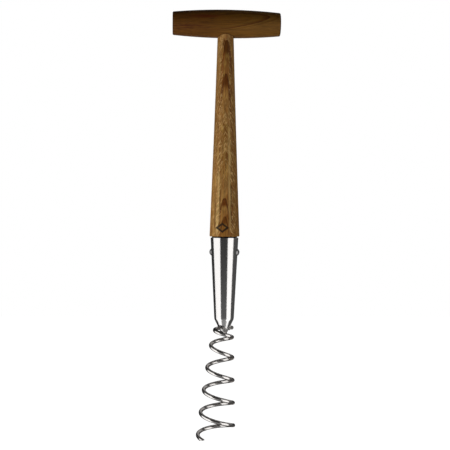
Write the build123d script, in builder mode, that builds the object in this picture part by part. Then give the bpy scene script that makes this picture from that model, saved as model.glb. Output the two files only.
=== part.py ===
from build123d import *
import math
import os

# T-handled garden corkscrew for loosening soil and planting bulbs, in millimetres.
# The origin is where the shaft's axis crosses the crossbar's axis. +Z runs up the shaft,
# +X runs along the crossbar, and -Y is the front of the tool.

# Turned wooden crossbar
bar_length = 120.5
bar_centre_diameter = 31.4
bar_end_diameter = 25.7
bar_offset = 0.9  # the crossbar's middle lies this far to the right of the shaft
bar_edge_round = 1.3

# Turned wooden shaft, slightly waisted along its length
shaft_shoulder_z = -238.0  # the face that sits above the socket's rim
shaft_seat_z = -8.0  # the shaft's own shoulder, inside the crossbar
shaft_seat_radius = 8.85
shaft_middle_radius = 12.5
shaft_shoulder_radius = 16.8
shaft_edge_round = 1.1

# Through tenon and its wedge
tenon_diameter = 14.0
wedge_depth = 16.0
wedge_top_thickness = 2.6
wedge_bottom_thickness = 0.8

# Polished steel socket
socket_gap = 1.2  # between the shaft's shoulder and the socket's rim
socket_top_radius = 15.55
socket_bottom_radius = 10.9
socket_bottom_z = -330.5
socket_wall = 1.5
socket_shoulder_round = 7.0
socket_rim_round = 0.4
tip_end_radius = 2.6
tip_end_z = -347.4
tip_edge_round = 1.6
spigot_end_z = -318.0
cavity_depth = 16.5  # the hollow's closed end lies this far below the spigot
cavity_end_radius = 5.4

# One through rivet with domed heads
rivet_z = -255.4
rivet_turn = -12.5  # degrees about Z: the right head is turned towards the front
rivet_shank_diameter = 4.5
rivet_head_diameter = 8.6
rivet_head_height = 2.3
rivet_head_sink = 0.6  # the head's rim is set this deep into the round wall

# Coil of round steel wire, a left-hand spiral that widens to the left as it goes down
wire_diameter = 4.1
coil_turns = 5.635
coil_start_angle = -2.5  # degrees from +X
coil_start_z = -339.5
close_pitch = 4.15  # pitch at the start of the coil
full_pitch = 25.18  # pitch once the turns have opened out
opening_turns = 1.63  # over which the pitch grows from close to full
coil_start_radius = 8.35
coil_radius_growth = 2.576  # per turn
coil_radius_easing = 0.084  # per turn squared
coil_side_start = 8.75  # reach of the coil's right side from the shaft's axis
coil_side_growth = 0.46  # per turn
coil_tilt = 0.055  # each turn's right side lies lower, as a share of its radius
arcs_per_turn = 12

# Ground point of the wire
point_length = 5.5
point_thickness = 1.9

# Weld beads between the coil's first half turn and the socket's tip
bead_diameter = 3.0
bead_first_angle = 14.0
bead_last_angle = 118.0
bead_lift = 1.5

overshoot = 2.0  # how far a blank runs past the face that trims it
wire_radius = wire_diameter / 2
bar_radius = bar_centre_diameter / 2
socket_top_z = shaft_shoulder_z - socket_gap


def socket_radius(z):
    """Outer radius of the socket's long cone at a height."""
    share = (z - socket_bottom_z) / (socket_top_z - socket_bottom_z)
    return socket_bottom_radius + share * (socket_top_radius - socket_bottom_radius)


def tip_radius(z):
    """Outer radius of the socket's short closed tip at a height."""
    share = (z - tip_end_z) / (socket_bottom_z - tip_end_z)
    return tip_end_radius + share * (socket_bottom_radius - tip_end_radius)


def coil_point(turn):
    """Middle of the wire after a number of turns, counted down from the coil's start."""
    opening = min(turn, opening_turns)
    drop = close_pitch * opening + full_pitch * (turn - opening)
    drop += (full_pitch - close_pitch) * opening**2 / (2 * opening_turns)
    radius = coil_start_radius + coil_radius_growth * turn - coil_radius_easing * turn**2
    centre_x = coil_side_start + coil_side_growth * turn - radius
    angle = math.radians(coil_start_angle) + 2 * math.pi * turn
    across = radius * math.cos(angle)
    height = coil_start_z - drop - coil_tilt * across
    return Vector(centre_x + across, radius * math.sin(angle), height)


def bead_point(angle, side):
    """Middle of a weld bead, above (side 1) or below (side -1) the wire, beside the tip."""
    wire = coil_point((angle - coil_start_angle) / 360)
    height = wire.Z + side * bead_lift
    wire_reach = math.hypot(wire.X, wire.Y) - wire_radius
    reach = (wire_reach + tip_radius(height)) / 2
    return Vector(reach * math.cos(math.radians(angle)), reach * math.sin(math.radians(angle)), height)


# Crossbar blank: a barrel turned about X, before its mortise is bored
with BuildPart() as bar_blank:
    with BuildSketch(Plane.XZ) as bar_profile:
        with BuildLine():
            left_x = bar_offset - bar_length / 2
            right_x = bar_offset + bar_length / 2
            end_radius = bar_end_diameter / 2
            Line((left_x, 0), (left_x, end_radius))
            ThreePointArc((left_x, end_radius), (bar_offset, bar_radius), (right_x, end_radius))
            Line((right_x, end_radius), (right_x, 0))
            Line((right_x, 0), (left_x, 0))
        make_face()
    revolve(axis=Axis.X)
    end_rims = bar_blank.edges().filter_by(GeomType.CIRCLE).group_by(Axis.X)
    fillet(end_rims[0] + end_rims[-1], radius=bar_edge_round)

# Tenon: its top is dressed flush with the crossbar
with BuildPart() as tenon:
    with BuildSketch(Plane.XY.offset(shaft_seat_z)):
        Circle(tenon_diameter / 2)
    extrude(amount=bar_radius - shaft_seat_z + overshoot)
    add(bar_blank.part, mode=Mode.INTERSECT)

# Wedge driven into the tenon's top, broad side across the crossbar's grain
with BuildPart() as tenon_wedge:
    with BuildSketch(Plane.XZ):
        with BuildLine():
            wedge_top_z = bar_radius + overshoot
            wedge_foot_z = bar_radius - wedge_depth
            half_top = wedge_top_thickness / 2
            half_foot = wedge_bottom_thickness / 2
            Polyline(
                (-half_foot, wedge_foot_z),
                (half_foot, wedge_foot_z),
                (half_top, wedge_top_z),
                (-half_top, wedge_top_z),
                close=True,
            )
        make_face()
    extrude(amount=tenon_diameter, both=True)
    add(tenon.part, mode=Mode.INTERSECT)

# Rivet: shank and two domed heads, along X before it is turned about the shaft
head_radius = rivet_head_diameter / 2
head_rim_x = socket_radius(rivet_z) - rivet_head_sink
dome_height = rivet_head_sink + rivet_head_height
dome_radius = (head_radius**2 + dome_height**2) / (2 * dome_height)
dome_centre_x = head_rim_x + dome_height - dome_radius
dome_half_angle = math.atan2(head_radius, head_rim_x - dome_centre_x) / 2
rivet_plane = Plane(origin=(0, 0, rivet_z)).rotated((0, 0, rivet_turn))
with BuildPart() as rivet_blank:
    with BuildSketch(Plane.XY):
        with BuildLine():
            Polyline(
                (0, rivet_shank_diameter / 2),
                (head_rim_x, rivet_shank_diameter / 2),
                (head_rim_x, head_radius),
            )
            dome_middle = (
                dome_centre_x + dome_radius * math.cos(dome_half_angle),
                dome_radius * math.sin(dome_half_angle),
            )
            head_top_x = dome_centre_x + dome_radius
            ThreePointArc((head_rim_x, head_radius), dome_middle, (head_top_x, 0))
            mirror(about=Plane.YZ)
            Line((head_top_x, 0), (-head_top_x, 0))
        make_face()
    revolve(axis=Axis.X)

# Socket: a long cone with a rounded shoulder and a short closed tip
with BuildPart() as shaft_socket:
    with BuildSketch(Plane.XZ):
        with BuildLine():
            Polyline(
                (0, tip_end_z),
                (tip_end_radius, tip_end_z),
                (socket_bottom_radius, socket_bottom_z),
                (socket_top_radius, socket_top_z),
                (0, socket_top_z),
                close=True,
            )
        make_face()
    revolve(axis=Axis.Z)
    rims = shaft_socket.edges().filter_by(GeomType.CIRCLE).sort_by(Axis.Z)
    fillet(rims[0], radius=tip_edge_round)
    corners = shaft_socket.edges().filter_by(GeomType.CIRCLE).sort_by(Axis.Z)
    shoulder = corners.sort_by(lambda edge: abs(edge.center().Z - socket_bottom_z))[0]
    fillet(shoulder, radius=socket_shoulder_round)
    # the tapered hollow that takes the spigot, and the space left below it
    with BuildSketch(Plane.XZ):
        with BuildLine():
            cavity_end_z = spigot_end_z - cavity_depth
            Polyline(
                (0, cavity_end_z),
                (cavity_end_radius, cavity_end_z),
                (socket_radius(spigot_end_z) - socket_wall, spigot_end_z),
                (socket_top_radius - socket_wall, socket_top_z),
                (0, socket_top_z),
                close=True,
            )
        make_face()
    revolve(axis=Axis.Z, mode=Mode.SUBTRACT)
    mouth = shaft_socket.edges().filter_by(GeomType.CIRCLE).group_by(Axis.Z)[-1]
    fillet(mouth, radius=socket_rim_round)
    add(rivet_plane.location * rivet_blank.part, mode=Mode.SUBTRACT)

# Shaft: the long taper, the spigot inside the socket and the tenon inside the crossbar
with BuildPart() as shaft:
    with BuildSketch(Plane.XZ) as shaft_profile:
        with BuildLine():
            shaft_middle_z = (shaft_seat_z + shaft_shoulder_z) / 2
            spigot_root_radius = socket_radius(shaft_shoulder_z) - socket_wall
            spigot_end_radius = socket_radius(spigot_end_z) - socket_wall
            Line((0, shaft_seat_z), (shaft_seat_radius, shaft_seat_z))
            ThreePointArc(
                (shaft_seat_radius, shaft_seat_z),
                (shaft_middle_radius, shaft_middle_z),
                (shaft_shoulder_radius, shaft_shoulder_z),
            )
            Polyline(
                (shaft_shoulder_radius, shaft_shoulder_z),
                (spigot_root_radius, shaft_shoulder_z),
                (spigot_end_radius, spigot_end_z),
                (0, spigot_end_z),
                (0, shaft_seat_z),
            )
        make_face()
        fillet(shaft_profile.vertices().sort_by(Axis.X)[-1], radius=shaft_edge_round)
    revolve(axis=Axis.Z)
    add(tenon.part)
    add(tenon_wedge.part, mode=Mode.SUBTRACT)
    add(rivet_plane.location * rivet_blank.part, mode=Mode.SUBTRACT)

# Crossbar: the blank with its mortise
with BuildPart() as crossbar:
    add(bar_blank.part)
    add(shaft.part, mode=Mode.SUBTRACT)
    add(tenon_wedge.part, mode=Mode.SUBTRACT)

with BuildPart() as socket_rivet:
    add(rivet_plane.location * rivet_blank.part)

# Coil: a chain of tangent arcs through points on the spiral, with the wire's round section
arc_count = round(coil_turns * arcs_per_turn)
arc_ends = [coil_point(coil_turns * step / arc_count) for step in range(arc_count + 1)]
small_turn = 0.001
start_heading = (coil_point(small_turn) - coil_point(-small_turn)).normalized()
with BuildPart() as coil:
    with BuildLine() as coil_path:
        heading = start_heading
        for arc_start, arc_end in zip(arc_ends, arc_ends[1:]):
            arc = TangentArc(arc_start, arc_end, tangent=heading)
            heading = arc % 1
    with BuildSketch(Plane(origin=arc_ends[0], z_dir=start_heading)):
        Circle(wire_radius)
    sweep(path=coil_path.wire())
    # the point is ground from below, leaving a blunt chisel edge on the wire's upper side
    side_way = heading.cross(Vector(0, 0, 1)).normalized()
    up_way = side_way.cross(heading).normalized()
    rise = 2 * wire_radius - point_thickness
    slope = math.atan2(rise, point_length)
    face_way = heading * math.sin(slope) - up_way * math.cos(slope)
    face_origin = arc_ends[-1] + up_way * (wire_radius - point_thickness)
    with BuildSketch(Plane(origin=face_origin, x_dir=side_way, z_dir=face_way)):
        Rectangle(wire_diameter + 2 * overshoot, 2 * (point_length + overshoot))
    extrude(amount=wire_diameter + overshoot, mode=Mode.SUBTRACT)


def weld_bead(side):
    """A weld bead along the corner between the wire and the tip, on one side of the wire."""
    first = bead_point(bead_first_angle, side)
    middle = bead_point((bead_first_angle + bead_last_angle) / 2, side)
    last = bead_point(bead_last_angle, side)
    with BuildPart() as bead:
        with BuildLine() as bead_path:
            ThreePointArc(first, middle, last)
        with BuildSketch(Plane(origin=first, z_dir=bead_path.line % 0)):
            Circle(bead_diameter / 2)
        sweep(path=bead_path.wire())
        for bead_end in (first, last):
            with Locations(bead_end):
                Sphere(bead_diameter / 2)
        add(coil.part, mode=Mode.SUBTRACT)
        add(shaft_socket.part, mode=Mode.SUBTRACT)
    return bead


coil_weld_upper = weld_bead(1)
coil_weld_lower = weld_bead(-1)
pieces = {
    "crossbar": crossbar,
    "shaft": shaft,
    "tenon_wedge": tenon_wedge,
    "shaft_socket": shaft_socket,
    "socket_rivet": socket_rivet,
    "coil": coil,
    "coil_weld_upper": coil_weld_upper,
    "coil_weld_lower": coil_weld_lower,
}
os.makedirs("parts", exist_ok=True)
for name, piece in pieces.items():
    piece.part.label = name
    export_step(piece.part, f"parts/{name}.step")
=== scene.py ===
"""Looks of the T-handled garden corkscrew: wood, polished steel, studio and camera, in metres."""
import math

import bmesh
import bpy
from mathutils import Matrix, Vector


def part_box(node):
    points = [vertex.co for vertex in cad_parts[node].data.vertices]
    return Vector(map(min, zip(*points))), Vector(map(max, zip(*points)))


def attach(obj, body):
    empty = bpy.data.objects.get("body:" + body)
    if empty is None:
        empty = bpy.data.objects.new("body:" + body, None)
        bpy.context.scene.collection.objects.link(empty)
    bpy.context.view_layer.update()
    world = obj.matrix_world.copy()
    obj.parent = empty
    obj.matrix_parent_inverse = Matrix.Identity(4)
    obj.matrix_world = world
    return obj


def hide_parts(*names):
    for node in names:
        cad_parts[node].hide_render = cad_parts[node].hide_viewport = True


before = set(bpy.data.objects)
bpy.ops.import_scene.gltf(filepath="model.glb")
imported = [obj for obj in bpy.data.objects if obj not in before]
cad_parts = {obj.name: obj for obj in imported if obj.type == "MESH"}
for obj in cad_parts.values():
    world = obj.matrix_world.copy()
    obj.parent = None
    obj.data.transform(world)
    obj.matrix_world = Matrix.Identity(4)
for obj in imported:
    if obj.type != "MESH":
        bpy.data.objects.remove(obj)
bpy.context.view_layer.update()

MM = 0.001
BODY = "root"
WHITE = (1.0, 1.0, 1.0, 1.0)

# Camera: level with the tool's middle, a little to the left of its front
CAMERA_DISTANCE = 1.064
CAMERA_AZIMUTH = math.radians(2.5)
CAMERA_ROLL = math.radians(0.33)
CAMERA_LENS = 76.0
CAMERA_SENSOR = 36.0
CAMERA_REACH = 50.0
VIEW_CENTRE = Vector((0.0005, 0.0, -0.2251))

# Softboxes: each is two lamps. "shine" is what polished surfaces show, and "light" is what lights
# matt ones. A lamp spans two angles from the camera's side of the tool, positive to the right.
SOFTBOX_DISTANCE = 1.3
SOFTBOX_LOW = -2.0
SOFTBOX_HIGH = {"shine": 0.30, "light": 0.10}
SOFTBOXES = [
    # name, use, first angle, last angle, radiance, share of SOFTBOX_DISTANCE: no two are in one plane
    ("softbox_left", "shine", -104.0, -37.0, 1.13, 1.0),
    ("softbox_left", "light", -92.0, -27.0, 1.50, 0.97),
    ("softbox_right", "shine", 29.0, 81.0, 1.13, 1.0),
    ("softbox_right", "light", 29.0, 84.0, 0.66, 0.97),
]

# The room as polished steel shows it: dim, with zones of other brightnesses laid over it in turn.
# Each zone comes in over spans of the direction's parts, from -1 to 1: X right, Y back, Z up.
ROOM_DIM = 0.030
BEHIND = ("Y", 0.15, 0.5)
ROOM_ZONES = [
    # the right side
    (0.075, [("X", 0.2, 0.9)]),
    # low down in front, and the floor there
    (0.20, [("Z", -0.10, -0.30), ("Y", 0.15, -0.25)]),
    (0.28, [("Z", -0.35, -0.85), ("Y", -0.25, -0.45)]),
    # straight down
    (ROOM_DIM, [("Z", -0.88, -0.95)]),
    # the wall behind, from the middle to the right
    (0.45, [("Z", 0.22, 0.34), ("Z", 0.80, 0.62), BEHIND, ("X", -0.28, -0.06)]),
    # the floor straight behind
    (0.65, [("Z", -0.26, -0.32), ("Z", -0.66, -0.52), BEHIND, ("X", -0.50, -0.32), ("X", 0.56, 0.42)]),
]
# soft fill on matt surfaces: faint from above, more from below and from behind
FILL_ABOVE = 0.018
FILL_ZONES = [
    (0.16, [("Z", 0.1, -0.5)]),
    (0.20, [("Y", 0.3, 0.8)]),
]

FLOOR_Z = -0.62
FLOOR_SIZE = 6.0
FLOOR_COLOUR = (0.9, 0.9, 0.9, 1.0)


def make_camera():
    """A level camera that looks at the tool's middle from the front."""
    data = bpy.data.cameras.new("camera")
    data.lens = CAMERA_LENS
    data.sensor_width = CAMERA_SENSOR
    data.clip_end = CAMERA_REACH
    camera = bpy.data.objects.new("camera", data)
    bpy.context.scene.collection.objects.link(camera)
    away = Vector((-math.sin(CAMERA_AZIMUTH), -math.cos(CAMERA_AZIMUTH), 0.0))
    camera.location = VIEW_CENTRE + away * CAMERA_DISTANCE
    facing = (-away).to_track_quat("-Z", "Y").to_matrix()
    camera.rotation_euler = (facing @ Matrix.Rotation(CAMERA_ROLL, 3, "Z")).to_euler()
    bpy.context.scene.camera = camera


def around(angle, distance, height):
    """A point of the studio, at an angle from the camera's side of the tool."""
    turn = angle - CAMERA_AZIMUTH
    return Vector((distance * math.sin(turn), -distance * math.cos(turn), height))


def make_softbox(name, use, first, last, radiance, share):
    """One lamp of a softbox, on the chord between two angles."""
    low, high = SOFTBOX_LOW, SOFTBOX_HIGH[use]
    a = around(math.radians(first), SOFTBOX_DISTANCE * share, (low + high) / 2)
    b = around(math.radians(last), SOFTBOX_DISTANCE * share, (low + high) / 2)
    middle = (a + b) / 2
    data = bpy.data.lights.new(f"{name}_{use}", "AREA")
    data.shape = "RECTANGLE"
    data.size = (b - a).length
    data.size_y = high - low
    data.energy = radiance * math.pi * data.size * data.size_y
    light = bpy.data.objects.new(f"{name}_{use}", data)
    bpy.context.scene.collection.objects.link(light)
    light.location = middle
    light.rotation_euler = Vector((-middle.x, -middle.y, 0.0)).to_track_quat("-Z", "Y").to_euler()
    light.visible_camera = False
    light.visible_glossy = use == "shine"
    light.visible_diffuse = use == "light"


def make_floor():
    """A plain pale floor, level and matt."""
    mesh = bpy.data.meshes.new("floor")
    half = FLOOR_SIZE / 2
    corners = [(-half, -half), (half, -half), (half, half), (-half, half)]
    mesh.from_pydata([(x, y, FLOOR_Z) for x, y in corners], [], [(0, 1, 2, 3)])
    floor = bpy.data.objects.new("floor", mesh)
    bpy.context.scene.collection.objects.link(floor)
    material = bpy.data.materials.new("floor_white")
    material.use_nodes = True
    shader = material.node_tree.nodes["Principled BSDF"]
    shader.inputs["Base Color"].default_value = FLOOR_COLOUR
    shader.inputs["Roughness"].default_value = 1.0
    shader.inputs["Emission Color"].default_value = WHITE
    shader.inputs["Emission Strength"].default_value = 1.0
    mesh.materials.append(material)
    floor.visible_glossy = False
    floor.visible_diffuse = False
    floor.visible_shadow = False


class Tree:
    """A node tree, with short calls for the nodes that the surround and the materials share."""

    def __init__(self, tree):
        self.tree = tree

    def node(self, kind, **settings):
        made = self.tree.nodes.new(kind)
        for key, value in settings.items():
            setattr(made, key, value)
        return made

    def feed(self, socket, value):
        """Links a node's output to a socket, or sets the socket to a plain value."""
        if isinstance(value, bpy.types.NodeSocket):
            self.tree.links.new(value, socket)
        else:
            socket.default_value = value

    def feed_all(self, sockets, values):
        for socket, value in zip(sockets, values):
            self.feed(socket, value)

    def math(self, operation, a, b=0.0, c=0.0):
        made = self.node("ShaderNodeMath", operation=operation)
        self.feed_all(made.inputs, (a, b, c))
        return made.outputs[0]

    def total(self, *values):
        out = values[0]
        for value in values[1:]:
            out = self.math("ADD", out, value)
        return out

    def product(self, *values):
        out = values[0]
        for value in values[1:]:
            out = self.math("MULTIPLY", out, value)
        return out

    def distance(self, a, b):
        """How far apart two numbers are."""
        return self.math("ABSOLUTE", self.math("SUBTRACT", a, b))

    def length(self, a, b):
        """Length of a vector in a plane."""
        return self.math("SQRT", self.total(self.product(a, a), self.product(b, b)))

    def split(self, vector):
        made = self.node("ShaderNodeSeparateXYZ")
        self.feed(made.inputs[0], vector)
        return made.outputs

    def remap(self, value, low, high, to_low=0.0, to_high=1.0, smooth=True):
        """to_low where the value is low or beyond, to_high where it's high or beyond."""
        made = self.node("ShaderNodeMapRange")
        made.interpolation_type = "SMOOTHSTEP" if smooth else "LINEAR"
        self.feed_all(made.inputs, (value, low, high, to_low, to_high))
        return made.outputs[0]

    def blend(self, share, a, b):
        """A number between a and b."""
        made = self.node("ShaderNodeMix", data_type="FLOAT")
        self.feed_all((made.inputs["Factor"], made.inputs["A"], made.inputs["B"]), (share, a, b))
        return made.outputs["Result"]


def make_world():
    """White to the camera, the dim room in reflections, and a little fill on matt surfaces."""
    world = bpy.data.worlds.new("surround")
    bpy.context.scene.world = world
    world.use_nodes = True
    world.node_tree.nodes.clear()
    t = Tree(world.node_tree)
    path = t.node("ShaderNodeLightPath")
    parts = dict(zip("XYZ", t.split(t.node("ShaderNodeTexCoord").outputs["Generated"])))

    def zoned(brightness, zones):
        for zone_brightness, spans in zones:
            share = t.product(*(t.remap(parts[axis], out, full) for axis, out, full in spans))
            brightness = t.blend(share, brightness, zone_brightness)
        return brightness

    room = zoned(ROOM_DIM, ROOM_ZONES)
    fill = zoned(FILL_ABOVE, FILL_ZONES)
    unseen = t.blend(path.outputs["Is Glossy Ray"], fill, room)
    back = t.node("ShaderNodeBackground")
    back.inputs["Color"].default_value = WHITE
    t.feed(back.inputs["Strength"], t.blend(path.outputs["Is Camera Ray"], unseen, 1.0))
    t.feed(t.node("ShaderNodeOutputWorld").inputs["Surface"], back.outputs["Background"])


class Shader(Tree):
    """A material's node tree. Lengths are in mm."""

    def __init__(self, name):
        self.material = bpy.data.materials.new(name)
        self.material.use_nodes = True
        super().__init__(self.material.node_tree)
        self.principled = self.tree.nodes["Principled BSDF"]
        metres = self.node("ShaderNodeTexCoord").outputs["Object"]
        self.position = self.scaled(metres, (1 / MM, 1 / MM, 1 / MM))
        self.x, self.y, self.z = self.split(self.position)

    def join(self, x, y, z):
        made = self.node("ShaderNodeCombineXYZ")
        self.feed_all(made.inputs, (x, y, z))
        return made.outputs[0]

    def scaled(self, vector, scale):
        made = self.node("ShaderNodeVectorMath", operation="MULTIPLY")
        self.feed_all(made.inputs, (vector, scale))
        return made.outputs[0]

    def noise(self, cells, detail=3.0, roughness=0.5, distortion=0.0, place=None):
        """Noise, about 0.5 at its middle, with this many cells per mm along each axis."""
        made = self.node("ShaderNodeTexNoise", noise_dimensions="3D")
        self.feed(made.inputs["Vector"], self.scaled(place or self.position, cells))
        made.inputs["Scale"].default_value = 1.0
        made.inputs["Detail"].default_value = detail
        made.inputs["Roughness"].default_value = roughness
        made.inputs["Distortion"].default_value = distortion
        return made.outputs["Fac"]

    def spread(self, noise, size):
        """Noise made into an offset of up to about size each way."""
        return self.math("MULTIPLY_ADD", noise, 2 * size, -size)

    def hump(self, value, middle, half_width):
        """1 at the middle, falling to nearly 0 at twice the half width."""
        share = self.math("DIVIDE", self.math("SUBTRACT", value, middle), half_width)
        return self.math("EXPONENT", self.product(share, share, -1.0))

    def bands(self, depth, stops):
        """Colours by depth. stops is a list of (depth in mm, colour)."""
        made = self.node("ShaderNodeValToRGB")
        first, last = stops[0][0], stops[-1][0]
        elements = made.color_ramp.elements
        while len(elements) < len(stops):
            elements.new(1.0)
        for element, (place, colour) in zip(elements, stops):
            element.position = (place - first) / (last - first)
            element.color = (*colour, 1.0)
        self.feed(made.inputs[0], self.remap(depth, first, last, smooth=False))
        return made.outputs["Color"]

    def mix(self, share, a, b, blend="MIX"):
        """A colour between a and b."""
        made = self.node("ShaderNodeMix", data_type="RGBA", blend_type=blend)
        colours = [(*value, 1.0) if isinstance(value, tuple) else value for value in (a, b)]
        # the node has sockets of the same names for numbers: those for colours are inputs 6 and 7, output 2
        self.feed_all((made.inputs["Factor"], made.inputs[6], made.inputs[7]), (share, *colours))
        return made.outputs[2]

    def shade(self, colour, amount):
        """A colour times a number."""
        return self.mix(1.0, colour, self.join(amount, amount, amount), "MULTIPLY")

    def bump(self, height, distance):
        made = self.node("ShaderNodeBump")
        made.inputs["Strength"].default_value = 1.0
        made.inputs["Distance"].default_value = distance
        self.feed(made.inputs["Height"], height)
        self.feed(self.principled.inputs["Normal"], made.outputs[0])

    def set(self, **values):
        for name, value in values.items():
            self.feed(self.principled.inputs[name.replace("_", " ")], value)


def srgb(red, green, blue):
    """Linear colour from the usual 0 to 255 values."""
    out = []
    for value in (red, green, blue):
        share = value / 255
        out.append(share / 12.92 if share <= 0.04045 else ((share + 0.055) / 1.055) ** 2.4)
    return tuple(out)


# Steel. In the materials below, a span is the two values a number is remapped between, and where
# it has four, the last two are what it is remapped to.
RUB_CELLS = (0.5, 0.5, 0.03)
RUB_SPAN = (0.3, 0.7)
RUB_ROUGHNESS = 0.03
# painted shade: near-black steel for the shade in the gap where the wire passes in front of the socket's
# tip
GAP_SHADE = (0.030, 0.024, 0.019)
STEELS = {
    # colour and least roughness
    "rivet_steel": ((0.30, 0.29, 0.29), 0.30),
    "weld_steel": ((0.42, 0.40, 0.38), 0.35),
    "sawn_steel": ((0.50, 0.48, 0.46), 0.50),
    "gap_shade_steel": (GAP_SHADE, 0.45),
}
SOCKET_COLOUR = (0.82, 0.80, 0.785)
SOCKET_ROUGHNESS = 0.12
# the tip is duller, in a span of z
TIP_DULL_SPAN = (-336.0, -341.0, 0.0, 0.18)
# and its end is painted near black below a slanting line, painted shade where the wire passes in front of
# it: its slope, and its z where x is 0
TIP_SHADE_LINE = (-0.49, -344.9)
TIP_SHADE_SPAN = (0.4, -0.2)
TIP_SHADE_ROUGHNESS = 0.3
TIP_SHADE_RAGGED_CELLS = (0.8, 0.8, 0.8)
TIP_SHADE_RAGGED = 0.5
WIRE_COLOUR = (0.79, 0.76, 0.735, 1.0)
WIRE_GRAZING_TINT = (0.25, 0.22, 0.20, 1.0)
WIRE_METALLIC = 0.95
WIRE_DRAWN_CELLS = (0.3, 0.3, 0.3)
WIRE_ROUGHNESS_SPAN = (0.3, 0.8, 0.05, 0.09)


def rubbed(s, roughness):
    """Roughness of polished steel with faint rub marks."""
    return s.remap(s.noise(RUB_CELLS, detail=2.0), *RUB_SPAN, roughness, roughness + RUB_ROUGHNESS)


def steel_material(name):
    """One of the plain steels."""
    s = Shader(name)
    colour, roughness = STEELS[name]
    s.set(Base_Color=(*colour, 1.0), Metallic=1.0, Roughness=rubbed(s, roughness))
    return s.material


def socket_material():
    """The socket's polished steel, duller towards its tip, with painted shade at the very end below where
    the wire passes in front.
    """
    s = Shader("socket_steel")
    dull = s.remap(s.z, *TIP_DULL_SPAN)
    uneven = s.spread(s.noise(TIP_SHADE_RAGGED_CELLS, detail=2.0), TIP_SHADE_RAGGED)
    # painted shade below the line where the wire passes in front of the tip
    over_line = s.math("SUBTRACT", s.z, s.math("MULTIPLY_ADD", s.x, *TIP_SHADE_LINE))
    tip_shade = s.remap(s.total(over_line, uneven), *TIP_SHADE_SPAN)
    s.set(Base_Color=s.mix(tip_shade, SOCKET_COLOUR, GAP_SHADE), Metallic=1.0)
    s.set(Roughness=s.total(rubbed(s, SOCKET_ROUGHNESS), dull, s.product(tip_shade, TIP_SHADE_ROUGHNESS)))
    return s.material


def wire_material():
    """Polished round wire with faint drawing marks."""
    s = Shader("wire_steel")
    drawn = s.noise(WIRE_DRAWN_CELLS, detail=4.0)
    s.set(Base_Color=WIRE_COLOUR, Specular_Tint=WIRE_GRAZING_TINT, Metallic=WIRE_METALLIC)
    s.set(Roughness=s.remap(drawn, *WIRE_ROUGHNESS_SPAN))
    return s.material


# Wood: what all the wooden pieces share
WOOD_LIGHT = 0.42  # how bright the studio makes a matt surface, against its own colour
WOOD_SHEEN = 0.004  # what the oiled finish adds to it
WOOD_DARKEST = 0.002
WOOD_SPECULAR = 0.10
WOOD_ROUGHNESS_SPAN = (0.0, 1.0, 0.5, 0.72)  # from plain wood to a pore's
GRAIN_HEIGHT = 0.06
PORE_DEPTH = 1.5  # against the grain's height
PORE_SPAN = (0.60, 0.70)


def wood(red, green, blue):
    """A wood's own colour, from how it looks in this studio."""
    return tuple(max(WOOD_DARKEST, value - WOOD_SHEEN) / WOOD_LIGHT for value in srgb(red, green, blue))


def ring_depth(s, across, deep, pith_across, pith_deep):
    """Where a ring about the pith meets the piece: the piece's radius there, in mm."""
    from_across = s.math("SUBTRACT", across, pith_across)
    from_deep = s.math("SUBTRACT", deep, pith_deep)
    return s.math("SUBTRACT", s.length(from_across, from_deep), s.length(pith_across, pith_deep))


def open_pores(s, cells):
    """1 in the wood's open pores, 0 elsewhere."""
    return s.remap(s.noise(cells, detail=2.0), *PORE_SPAN)


def finish_wood(s, tone, pores, grain):
    """The wood's oiled finish: colour, dull pores and a fine raised grain."""
    s.set(Base_Color=tone, Roughness=s.remap(pores, *WOOD_ROUGHNESS_SPAN))
    s.principled.inputs["Specular IOR Level"].default_value = WOOD_SPECULAR
    s.bump(s.math("SUBTRACT", grain, s.product(pores, PORE_DEPTH)), GRAIN_HEIGHT * MM)


# The shaft's rings
SHAFT_PITH_DEPTH = 40.0
SHAFT_DRIFT = (0.0088, 1.06)  # x of the arches' middle: for each mm up, and at z 0
SHAFT_RIPPLE_WIDTH = 3.0  # beside this strip the arches stand higher
SHAFT_RIPPLE = 0.45
SHAFT_WANDER_CELLS = (0.10, 0.10, 0.02)
SHAFT_WANDER = 0.30
SHAFT_RAGGED_CELLS = (0.9, 0.9, 0.22)
SHAFT_RAGGED = 0.16
SHAFT_RINGS = [
    # depth in mm, then the colour: each ring ends light and the next begins dark
    (8.0, (120, 88, 48)),
    (9.15, (128, 94, 54)),
    (9.28, (72, 40, 12)),
    (9.50, (96, 62, 26)),
    (10.38, (116, 80, 40)),
    (10.46, (78, 42, 12)),
    (10.75, (104, 66, 28)),
    (11.05, (118, 82, 42)),
    (12.15, (126, 92, 50)),
    (12.22, (104, 70, 32)),
    (12.6, (118, 84, 42)),
    (13.3, (128, 96, 54)),
    (13.37, (106, 72, 34)),
    (13.8, (118, 84, 42)),
    (15.02, (130, 94, 50)),
    (15.12, (112, 76, 36)),
    (16.0, (126, 88, 44)),
    (16.12, (100, 62, 24)),
    (16.42, (112, 74, 32)),
    (17.1, (122, 86, 42)),
]
# the arches' legs are weaker than their tops, from this angle round the shaft, and break up
BROKEN_CELLS = (0.3, 0.3, 0.07)
LEG_ANGLES = (0.36, 0.62)
LEG_BROKEN_SPAN = (0.35, 0.6, 0.9, 0.35)
LEG_TONE = (122, 86, 44)
# patches of yellower and redder wood
PATCH_CELLS = (0.45, 0.45, 0.09)
YELLOW_SPAN = (0.52, 0.70, 0.0, 0.45)
YELLOW_TONE = (150, 118, 62)
RED_SPAN = (0.46, 0.30, 0.0, 0.40)
RED_TONE = (116, 68, 30)

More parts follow.
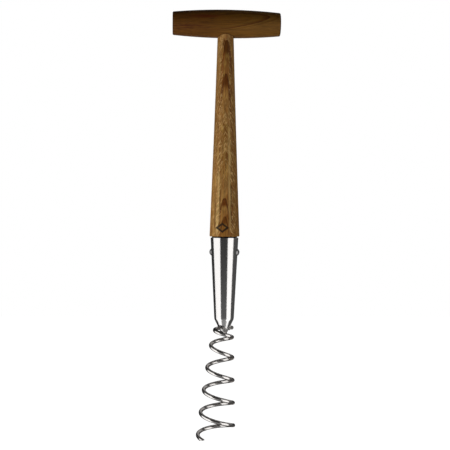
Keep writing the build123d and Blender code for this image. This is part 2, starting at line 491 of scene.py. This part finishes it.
# The arches' dark tops, or tongues, in mm: apex x and z, half width, height, how strong, colour
SHAFT_TONGUES = [
    (1.1, -19.5, 3.9, 18.0, 0.95, (74, 43, 13)),
    (0.2, -57.0, 3.6, 16.0, 0.95, (80, 44, 10)),
    (-1.0, -195.5, 3.6, 10.5, 1.0, (84, 46, 12)),
    (-0.6, -215.5, 3.2, 10.0, 0.85, (88, 50, 12)),
]
SHAFT_FRONT_SPAN = (0.0, -3.0)
FRAY_CELLS = (0.8, 0.8, 0.15)
FRAY = 1.1
FRAY_UP = 0.6  # how much of the fraying goes up and down, and sideways
FRAY_ACROSS = 0.5
TONGUE_EDGE_SPAN = (0.5, -0.7)
TONGUE_TOP_SPAN = (0.0, 0.03)  # in shares of a tongue's height
TONGUE_FOOT_SPAN = (1.10, 0.62)
# a tongue's dark outline runs on below it as two legs
OUTLINE_EDGE_SPAN = (0.95, 0.2)
OUTLINE_FADE_SPAN = (2.6, 1.0, 0.0, 0.95)
OUTLINE_BROKEN_SPAN = (0.3, 0.6, 0.4, 1.0)
OUTLINE_TONE = (62, 34, 8)

# Long fine streaks along the grain, and short slanting flecks in arches
STREAK_CELLS = (0.9, 0.9, 0.07)
STREAK_SPAN = (0.28, 0.72, 0.66, 1.36)
FLECK_SLANT = 24.0  # mm up for each radian round the shaft
FLECK_REACH = 12.0  # mm taken for each radian round the shaft
FLECK_CELLS = (0.42, 0.38, 0.13)
FLECK_ANGLES = (0.20, 0.45)
FLECK_STRONGEST = (0.5, 0.25)  # angle and half width
FLECK_STRENGTH = (0.5, 0.35)  # what the strongest place adds, and the least
FLECK_WAIST = (-130.0, 42.0)  # z and half height where they cross the middle too
FLECK_WAIST_STRENGTH = 0.60
PALE_FLECK_SPAN = (0.54, 0.66)
PALE_FLECK_TONE = (180, 150, 98)
DARK_FLECK_SPAN = (0.47, 0.36)
DARK_FLECK_STRENGTH = 0.8
DARK_FLECK_TONE = (80, 49, 18)

# Light and dark bands beside the arches, in mm: x at the top and at the foot, half width, z of the
# top and of the foot, how strong, colour
SHAFT_BANDS = [
    (-6.8, -9.2, 1.1, -170.0, -236.0, 0.70, (186, 158, 102)),
    (-10.6, -12.6, 0.9, -170.0, -236.0, 0.45, (176, 138, 76)),
    (4.0, 5.4, 1.1, -120.0, -232.0, 0.60, (182, 152, 96)),
    (5.9, 7.6, 0.9, -180.0, -204.0, 0.95, (58, 38, 14)),
    (5.9, 7.2, 0.8, -204.0, -222.0, 0.95, (58, 38, 14)),
    (-5.4, -6.2, 0.8, -182.0, -232.0, 0.75, (84, 54, 20)),
    (-11.0, -11.6, 0.8, -184.0, -230.0, 0.80, (78, 48, 18)),
    (4.3, 6.6, 0.8, -26.0, -66.0, 0.75, (76, 42, 12)),
    (-3.2, -4.2, 0.8, -28.0, -62.0, 0.50, (112, 62, 20)),
]
BAND_TOP_SPAN = (6.0, -6.0)  # over the top's z
BAND_FOOT_SPAN = (-4.0, 6.0)  # over the foot's z
BAND_FRAY = 0.6
BAND_BROKEN_SPAN = (0.32, 0.60, 0.30, 1.0)

SHAFT_PORE_CELLS = (2.6, 2.6, 0.16)
SHAFT_PORE_STRENGTH = 0.55
SHAFT_PORE_TONE = (58, 34, 12)
# painted shade: the left side is darker towards the top: spans of the angle and of z, and how much
LEFT_SHADE_ANGLES = (-0.75, -1.15)
LEFT_SHADE_HEIGHTS = (-190.0, -110.0)
LEFT_SHADE_LOSS = -0.22
# a plain burnt mark near the foot of the shaft, in mm: a diamond's outline
MARK_X = -3.2
MARK_Z = -228.2
MARK_HALF_WIDTH = 7.0
MARK_HALF_HEIGHT = 5.4
MARK_FRAY = 0.04
MARK_OUTLINE = 0.82  # the line's middle, as a share of the half sizes
MARK_OUTLINE_SPAN = (0.32, 0.18)
MARK_STRENGTH = 0.94
MARK_TONE = (40, 31, 22)
# the shadowed neck under the shoulder
NECK_SPAN = (-237.6, -238.1)
NECK_TONE = (0.006, 0.005, 0.004)


def shaft_rings(s, turned, broken):
    """The colours of the shaft's rings, with weak, broken legs and yellower and redder patches."""
    across = s.math("SUBTRACT", s.x, s.math("MULTIPLY_ADD", s.z, *SHAFT_DRIFT))
    beside = s.math("SUBTRACT", 1.0, s.hump(across, 0.0, SHAFT_RIPPLE_WIDTH))
    wander = s.spread(s.noise(SHAFT_WANDER_CELLS, detail=1.0), SHAFT_WANDER)
    ragged = s.spread(s.noise(SHAFT_RAGGED_CELLS), SHAFT_RAGGED)
    rings = ring_depth(s, across, s.y, 0.0, SHAFT_PITH_DEPTH)
    depth = s.total(rings, s.product(beside, SHAFT_RIPPLE), wander, ragged)
    tone = s.bands(depth, [(place, wood(*colour)) for place, colour in SHAFT_RINGS])
    legs = s.product(s.remap(turned, *LEG_ANGLES), s.remap(broken, *LEG_BROKEN_SPAN))
    tone = s.mix(legs, tone, wood(*LEG_TONE))
    patch = s.noise(PATCH_CELLS, detail=2.0)
    tone = s.mix(s.remap(patch, *YELLOW_SPAN), tone, wood(*YELLOW_TONE))
    return s.mix(s.remap(patch, *RED_SPAN), tone, wood(*RED_TONE))


def add_tongues(s, tone, front, frayed, broken):
    """Lays the arches' dark tops and their outlines over a tone."""
    x_here = s.total(s.x, s.product(frayed, FRAY_ACROSS))
    z_here = s.total(s.z, s.product(frayed, FRAY_UP))
    for x, z, half_width, height, strength, colour in SHAFT_TONGUES:
        below = s.math("DIVIDE", s.math("SUBTRACT", z, z_here), height)
        half = s.product(s.math("SQRT", s.math("MAXIMUM", below, 0.0)), half_width)
        offset = s.distance(x_here, x)
        inside = s.remap(s.math("SUBTRACT", offset, half), *TONGUE_EDGE_SPAN)
        top = s.remap(below, *TONGUE_TOP_SPAN)
        tongue = s.product(inside, top, s.remap(below, *TONGUE_FOOT_SPAN), front, strength)
        tone = s.mix(tongue, tone, wood(*colour))
        line = s.remap(s.distance(offset, half), *OUTLINE_EDGE_SPAN)
        faded = s.product(top, s.remap(below, *OUTLINE_FADE_SPAN), front)
        outline = s.product(line, faded, s.remap(broken, *OUTLINE_BROKEN_SPAN))
        tone = s.mix(outline, tone, wood(*OUTLINE_TONE))
    return tone


def add_flecks(s, tone, turn, turned):
    """Lays short slanting flecks over a tone, strongest beside the middle and all over the waist."""
    slope = s.math("MULTIPLY_ADD", turned, FLECK_SLANT, s.z)
    place = s.join(slope, s.product(turn, FLECK_REACH), s.z)
    fleck = s.noise(FLECK_CELLS, detail=2.5, distortion=0.8, place=place)
    strength = s.math("MULTIPLY_ADD", s.hump(turned, *FLECK_STRONGEST), *FLECK_STRENGTH)
    share = s.product(s.remap(turned, *FLECK_ANGLES), strength)
    waist = s.product(s.hump(s.z, *FLECK_WAIST), FLECK_WAIST_STRENGTH)
    share = s.math("MAXIMUM", share, waist)
    pale = s.product(s.remap(fleck, *PALE_FLECK_SPAN), share)
    dark = s.product(s.remap(fleck, *DARK_FLECK_SPAN), share, DARK_FLECK_STRENGTH)
    tone = s.mix(pale, tone, wood(*PALE_FLECK_TONE))
    return s.mix(dark, tone, wood(*DARK_FLECK_TONE))


def add_bands(s, tone, front, frayed, broken):
    """Lays the light and dark bands over a tone."""
    x_here = s.total(s.x, s.product(frayed, BAND_FRAY))
    for x, foot_x, half_width, z, foot_z, strength, colour in SHAFT_BANDS:
        middle = s.remap(s.z, z, foot_z, x, foot_x, smooth=False)
        below_top = s.remap(s.z, *(z + step for step in BAND_TOP_SPAN))
        over_foot = s.remap(s.z, *(foot_z + step for step in BAND_FOOT_SPAN))
        band = s.product(s.hump(x_here, middle, half_width), below_top, over_foot, front, strength)
        band = s.product(band, s.remap(broken, *BAND_BROKEN_SPAN))
        tone = s.mix(band, tone, wood(*colour))
    return tone


def add_mark(s, tone, front, frayed):
    """Lays the burnt diamond over a tone."""
    wide = s.math("DIVIDE", s.distance(s.x, MARK_X), MARK_HALF_WIDTH)
    tall = s.math("DIVIDE", s.distance(s.z, MARK_Z), MARK_HALF_HEIGHT)
    reach = s.total(wide, tall, s.product(frayed, MARK_FRAY))
    mark = s.product(s.remap(s.distance(reach, MARK_OUTLINE), *MARK_OUTLINE_SPAN), front)
    return s.mix(s.product(mark, MARK_STRENGTH), tone, wood(*MARK_TONE))


def shaft_wood():
    """Oiled open-grained wood, cut so that its rings make tall arches down the front and back."""
    s = Shader("shaft_wood")
    # angle round the shaft, from the front
    turn = s.math("ARCTAN2", s.x, s.math("MULTIPLY", s.y, -1.0))
    turned = s.math("ABSOLUTE", turn)
    front = s.remap(s.y, *SHAFT_FRONT_SPAN)
    broken = s.noise(BROKEN_CELLS, detail=2.0)
    frayed = s.spread(s.noise(FRAY_CELLS), FRAY)
    tone = shaft_rings(s, turned, broken)
    tone = add_tongues(s, tone, front, frayed, broken)
    streak = s.noise(STREAK_CELLS, roughness=0.6)
    tone = s.shade(tone, s.remap(streak, *STREAK_SPAN, smooth=False))
    tone = add_flecks(s, tone, turn, turned)
    tone = add_bands(s, tone, front, frayed, broken)
    pores = open_pores(s, SHAFT_PORE_CELLS)
    tone = s.mix(s.product(pores, SHAFT_PORE_STRENGTH), tone, wood(*SHAFT_PORE_TONE))
    # painted shade on the left side, stronger towards the top
    left_shade = s.product(s.remap(turn, *LEFT_SHADE_ANGLES), s.remap(s.z, *LEFT_SHADE_HEIGHTS))
    tone = s.shade(tone, s.math("MULTIPLY_ADD", left_shade, LEFT_SHADE_LOSS, 1.0))
    tone = add_mark(s, tone, front, frayed)
    tone = s.mix(s.remap(s.z, *NECK_SPAN), tone, NECK_TONE)
    finish_wood(s, tone, pores, streak)
    return s.material


# The crossbar's rings: the loop they make on the front is open on the left
BAR_PITH_DEPTH = 35.0
BAR_PITH_LINE = (-0.3125, -0.7)  # z of the pith: for each mm to the right, and at x 0
BAR_WANDER_CELLS = (0.02, 0.09, 0.09)
BAR_WANDER = 0.15
BAR_RAGGED_CELLS = (0.10, 0.8, 0.8)
BAR_RAGGED = 0.12
BAR_RINGS = [
    (12.2, (86, 58, 25)),
    (13.05, (90, 62, 28)),
    (13.15, (76, 48, 18)),
    (13.4, (84, 56, 23)),
    (13.88, (92, 64, 28)),
    (14.0, (62, 34, 9)),
    (14.22, (72, 43, 14)),
    (14.6, (82, 55, 22)),
    (15.05, (84, 57, 24)),
    (15.12, (78, 50, 19)),
    (15.4, (82, 54, 22)),
    (16.2, (84, 56, 24)),
]
BAR_OPEN_SPAN = (8.0, -22.0, 0.0, 0.85)
BAR_OPEN_TONE = (80, 52, 22)
BAR_STREAK_CELLS = (0.035, 0.9, 0.9)
BAR_STREAK_SPAN = (0.28, 0.72, 0.70, 1.34)
# the wood is darker and redder towards its left end
BAR_ALONG_SPAN = (-50.0, 30.0)
BAR_LEFT_TINT = (0.80, 0.74, 0.76)
BAR_RIGHT_TINT = (1.00, 1.04, 1.12)
BAR_FRONT_SPAN = (2.0, -4.0)
# a reddish streak on the left of the front: middle and half size along x and z
RED_STREAK_ALONG = (-24.0, 17.0)
RED_STREAK_ACROSS = (5.6, 2.0)
RED_STREAK_SPAN = (0.3, 0.6, 0.6, 1.0)
RED_STREAK_STRENGTH = 0.85
RED_STREAK_TONE = (70, 28, 6)
# faint reddish lines low on the left
LOW_LINES_SPAN = (0.52, 0.38)
LOW_LINES_ACROSS = (-5.5, 3.2)
LOW_LINES_ALONG_SPAN = (-10.0, -26.0)
LOW_LINES_STRENGTH = 0.7
LOW_LINES_TONE = (60, 27, 6)
BAR_PORE_CELLS = (0.16, 2.6, 2.6)
BAR_PORE_STRENGTH = 0.5
BAR_PORE_TONE = (36, 20, 7)
# painted shadow: a dark line round the shaft on the bar's underside, where the two meet: spans of the
# distance from the shaft's axis and of z
JOINT_SHADOW_SPAN = (10.2, 9.0)
JOINT_SHADOW_UNDER_SPAN = (0.0, -4.0)
JOINT_SHADOW_STRENGTH = 0.8
JOINT_SHADOW_TONE = (30, 20, 9)
# painted shade: the bar is darker over this distance from each end
END_SHADE_SPAN = (1.8, 0.4)
END_SHADE_STRENGTH = 0.6
END_SHADE_TONE = (40, 22, 8)

WEDGE_STREAK_CELLS = (0.5, 2.0, 0.1)
WEDGE_STREAK_SPAN = (0.3, 0.7)
WEDGE_TONES = ((52, 30, 12), (84, 54, 24))
WEDGE_PORE_CELLS = (2.6, 2.6, 0.2)


def crossbar_wood():
    """The crossbar's darker wood, with long flat loops of grain on its front."""
    s = Shader("crossbar_wood")
    pith_z = s.math("MULTIPLY_ADD", s.x, *BAR_PITH_LINE)
    wander = s.spread(s.noise(BAR_WANDER_CELLS, detail=1.0), BAR_WANDER)
    ragged = s.spread(s.noise(BAR_RAGGED_CELLS), BAR_RAGGED)
    depth = s.total(ring_depth(s, s.z, s.y, pith_z, BAR_PITH_DEPTH), wander, ragged)
    tone = s.bands(depth, [(place, wood(*colour)) for place, colour in BAR_RINGS])
    tone = s.mix(s.remap(s.x, *BAR_OPEN_SPAN), tone, wood(*BAR_OPEN_TONE))
    streak = s.noise(BAR_STREAK_CELLS, roughness=0.6)
    tone = s.shade(tone, s.remap(streak, *BAR_STREAK_SPAN, smooth=False))
    tint = s.mix(s.remap(s.x, *BAR_ALONG_SPAN, smooth=False), BAR_LEFT_TINT, BAR_RIGHT_TINT)
    tone = s.mix(1.0, tone, tint, "MULTIPLY")
    front = s.remap(s.y, *BAR_FRONT_SPAN)
    red = s.product(s.hump(s.x, *RED_STREAK_ALONG), s.hump(s.z, *RED_STREAK_ACROSS), front)
    red = s.product(red, s.remap(streak, *RED_STREAK_SPAN), RED_STREAK_STRENGTH)
    tone = s.mix(red, tone, wood(*RED_STREAK_TONE))
    low_left = s.product(s.hump(s.z, *LOW_LINES_ACROSS), s.remap(s.x, *LOW_LINES_ALONG_SPAN), front)
    low_lines = s.product(s.remap(streak, *LOW_LINES_SPAN), low_left, LOW_LINES_STRENGTH)
    tone = s.mix(low_lines, tone, wood(*LOW_LINES_TONE))
    pores = open_pores(s, BAR_PORE_CELLS)
    tone = s.mix(s.product(pores, BAR_PORE_STRENGTH), tone, wood(*BAR_PORE_TONE))
    # painted shadow round the shaft where it meets the bar's underside
    under = s.remap(s.z, *JOINT_SHADOW_UNDER_SPAN)
    joint_shadow = s.product(s.remap(s.length(s.x, s.y), *JOINT_SHADOW_SPAN), under, JOINT_SHADOW_STRENGTH)
    tone = s.mix(joint_shadow, tone, wood(*JOINT_SHADOW_TONE))
    # painted shade near both ends of the bar
    low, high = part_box("crossbar")
    left_end = s.remap(s.x, *(low.x / MM + reach for reach in END_SHADE_SPAN))
    right_end = s.remap(s.x, *(high.x / MM - reach for reach in END_SHADE_SPAN))
    end_shade = s.product(s.math("MAXIMUM", right_end, left_end), END_SHADE_STRENGTH)
    tone = s.mix(end_shade, tone, wood(*END_SHADE_TONE))
    finish_wood(s, tone, pores, streak)
    return s.material


def wedge_wood():
    """The small dark wedge in the tenon's top."""
    s = Shader("wedge_wood")
    streak = s.noise(WEDGE_STREAK_CELLS)
    dark, light = WEDGE_TONES
    tone = s.mix(s.remap(streak, *WEDGE_STREAK_SPAN), wood(*dark), wood(*light))
    finish_wood(s, tone, open_pores(s, WEDGE_PORE_CELLS), streak)
    return s.material


# The coil's spiral, in mm, as the CAD has it
WIRE_RADIUS = 2.05
POLISH = 0.13  # the polished wire's skin over the CAD's wire
COIL_TURNS = 5.635
COIL_START_ANGLE = math.radians(-2.5)
COIL_START_Z = -339.5
CLOSE_PITCH = 4.15
FULL_PITCH = 25.18
OPENING_TURNS = 1.63
COIL_START_RADIUS = 8.35
COIL_GROWTH = 2.576
COIL_EASING = 0.084
COIL_SIDE_START = 8.75
COIL_SIDE_GROWTH = 0.46
COIL_TILT = 0.055
POINT_LENGTH = 5.5
POINT_THICKNESS = 1.9
WIRE_EDGE = 0.35  # the wire's cut ends are broken by this much
# the wire's top has painted shade where it passes in front of the socket's tip: turns from the start, how
# far each way, and above which share of the wire's radius
GAP_SHADE_MIDDLE = 0.60
GAP_SHADE_REACH = 0.16
GAP_SHADE_HEIGHT = 0.60
STEPS_PER_TURN = 120
WIRE_SIDES = 32
SMALL_TURN = 0.001
# the wire's material slots, after slot 0 for its plain steel
CUT_SLOT = 1
GAP_SHADE_SLOT = 2


def coil_point(turn):
    """Middle of the wire after a number of turns down from the coil's start, in mm."""
    opening = min(turn, OPENING_TURNS)
    drop = CLOSE_PITCH * opening + FULL_PITCH * (turn - opening)
    drop += (FULL_PITCH - CLOSE_PITCH) * opening**2 / (2 * OPENING_TURNS)
    radius = COIL_START_RADIUS + COIL_GROWTH * turn - COIL_EASING * turn**2
    centre_x = COIL_SIDE_START + COIL_SIDE_GROWTH * turn - radius
    angle = COIL_START_ANGLE + 2 * math.pi * turn
    across = radius * math.cos(angle)
    height = COIL_START_Z - drop - COIL_TILT * across
    return Vector((centre_x + across, radius * math.sin(angle), height))


def wire_ring(turn, radius):
    """A round section of the wire: its points, its middle and its upward direction."""
    middle = coil_point(turn)
    heading = (coil_point(turn + SMALL_TURN) - coil_point(turn - SMALL_TURN)).normalized()
    side = heading.cross(Vector((0, 0, 1))).normalized()
    up = side.cross(heading)
    points = []
    for step in range(WIRE_SIDES):
        angle = 2 * math.pi * step / WIRE_SIDES
        points.append(middle + side * radius * math.cos(angle) + up * radius * math.sin(angle))
    return points, middle, up


def grind(ring, middle, up, radius, to_tip):
    """Lifts a ring's lower points onto the ground face, which rises towards the tip."""
    share = 1 - to_tip / POINT_LENGTH
    face_height = -radius + (2 * radius - POINT_THICKNESS) * share
    for i, point in enumerate(ring):
        below = face_height - (point - middle).dot(up)
        if below > 0:
            ring[i] = point + up * below


def tube(name, rings):
    """A tube through rings of points, with a fan of faces on a middle vertex at each end."""
    mesh = bmesh.new()
    rows = [[mesh.verts.new(point) for point in ring] for ring in rings]
    count = len(rows[0])
    for row, after in zip(rows, rows[1:]):
        for i in range(count):
            j = (i + 1) % count
            mesh.faces.new((row[i], row[j], after[j], after[i])).smooth = True
    for row, flip in ((rows[0], True), (rows[-1], False)):
        middle = mesh.verts.new(sum((v.co for v in row), Vector()) / count)
        for i in range(count):
            j = (i + 1) % count
            corners = (row[j], row[i], middle) if flip else (row[i], row[j], middle)
            mesh.faces.new(corners).material_index = CUT_SLOT
    bmesh.ops.recalc_face_normals(mesh, faces=mesh.faces)
    data = bpy.data.meshes.new(name)
    mesh.to_mesh(data)
    mesh.free()
    piece = bpy.data.objects.new(name, data)
    bpy.context.scene.collection.objects.link(piece)
    return piece


def make_coil():
    """The wire's spiral, with a broken edge at its cut end, a ground point and painted shade on its top
    where it passes the socket's tip.
    """
    count = round(COIL_TURNS * STEPS_PER_TURN)
    step_length = (coil_point(COIL_TURNS) - coil_point(COIL_TURNS - 1 / STEPS_PER_TURN)).length
    radius = WIRE_RADIUS + POLISH
    edge_turn = WIRE_EDGE / (2 * math.pi * COIL_START_RADIUS)
    rings = [wire_ring(0.0, radius - WIRE_EDGE)[0], wire_ring(edge_turn, radius)[0]]
    for step in range(1, count + 1):
        ring, middle, up = wire_ring(COIL_TURNS * step / count, radius)
        to_tip = (count - step) * step_length
        if to_tip < POINT_LENGTH:
            grind(ring, middle, up, radius, to_tip)
        rings.append(ring)
    coil = tube("coil_wire", [[point * MM for point in ring] for ring in rings])
    # painted shade: faces on the wire's top near the socket's tip take the near-black steel
    for row in range(2, len(rings) - 1):
        turn = COIL_TURNS * (row - 0.5) / count
        from_middle = abs(turn - GAP_SHADE_MIDDLE) / GAP_SHADE_REACH
        edge = GAP_SHADE_HEIGHT + (1 - GAP_SHADE_HEIGHT) * from_middle**2
        for side in range(WIRE_SIDES):
            if math.sin(2 * math.pi * (side + 0.5) / WIRE_SIDES) > edge:
                coil.data.polygons[row * WIRE_SIDES + side].material_index = GAP_SHADE_SLOT
    return coil


def dress(node, material):
    """Gives a CAD node a material."""
    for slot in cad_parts[node].material_slots:
        slot.material = material


make_camera()
make_world()
make_floor()
for softbox in SOFTBOXES:
    make_softbox(*softbox)

dress("crossbar", crossbar_wood())
dress("shaft", shaft_wood())
dress("tenon_wedge", wedge_wood())
dress("shaft_socket", socket_material())
dress("socket_rivet", steel_material("rivet_steel"))
weld = steel_material("weld_steel")
dress("coil_weld_upper", weld)
dress("coil_weld_lower", weld)

coil = make_coil()
# in the order of the wire's slots
coil.data.materials.append(wire_material())
coil.data.materials.append(steel_material("sawn_steel"))
# the wire's third slot: painted shade on its top where it passes the socket's tip
coil.data.materials.append(steel_material("gap_shade_steel"))
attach(coil, BODY)
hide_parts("coil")

bpy.context.scene.view_settings.view_transform = "Standard"
